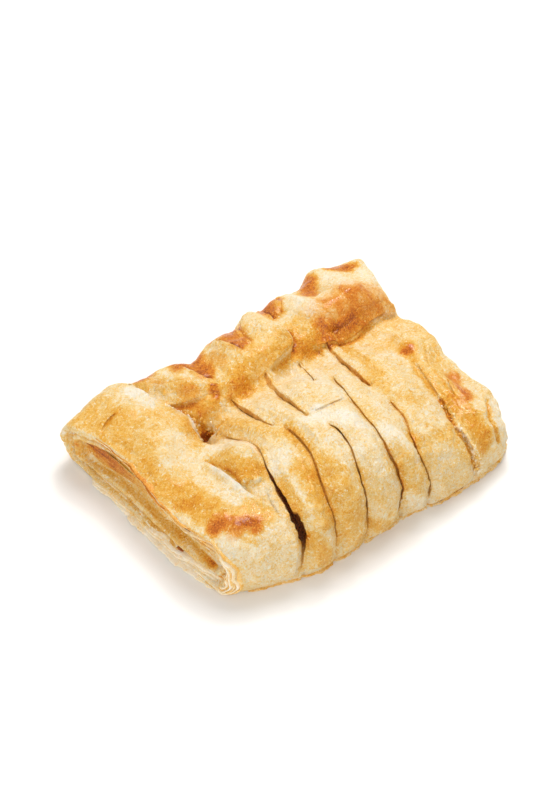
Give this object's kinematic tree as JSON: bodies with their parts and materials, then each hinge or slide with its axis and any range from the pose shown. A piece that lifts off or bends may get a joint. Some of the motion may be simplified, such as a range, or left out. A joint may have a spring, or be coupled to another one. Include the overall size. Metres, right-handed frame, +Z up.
{
  "type": "savory puff pastry",
  "caption": "Filled puff pastry parcel with a slashed top, a crimped seam along the back and folded layers at its open end.",
  "frame": {"origin": "middle of the base, on the surface that it rests on", "axes": "+X from the open end to the shut end, +Y from the front fold to the crimped seam, +Z up"},
  "size_m": [0.1464, 0.1148, 0.0401],
  "materials": {
    "baked_puff_pastry": "egg-washed crust, satin on the golden swells and matte on the pale flaky sides"
  },
  "bodies": {
    "root": {"puff_pastry": "baked_puff_pastry"}
  },
  "joints": []
}
